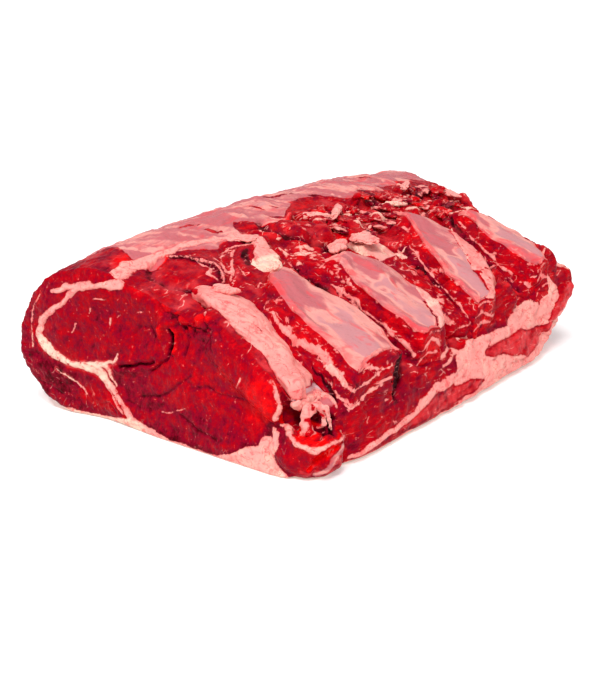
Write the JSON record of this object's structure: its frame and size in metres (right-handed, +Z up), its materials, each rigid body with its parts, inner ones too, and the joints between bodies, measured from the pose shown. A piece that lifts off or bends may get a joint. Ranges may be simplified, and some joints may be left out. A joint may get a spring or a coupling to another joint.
{
  "type": "boneless rib roast of beef",
  "caption": "Raw boneless beef rib roast lying fat side down, with a cut face, a rounded ridge and fingers of rib meat under pink membrane.",
  "frame": {"origin": "under the middle of the roast's box, on the surface that it lies on", "axes": "+Y along the roast from the cut face to the far end, +X across it from the ridge to the rib tails, +Z up"},
  "size_m": [0.2344, 0.3872, 0.1066],
  "materials": {
    "meat": "raw beef, deep red and moist, with pale pink fat and silvery membrane"
  },
  "bodies": {
    "root": {"entrecote": "meat"}
  },
  "joints": []
}
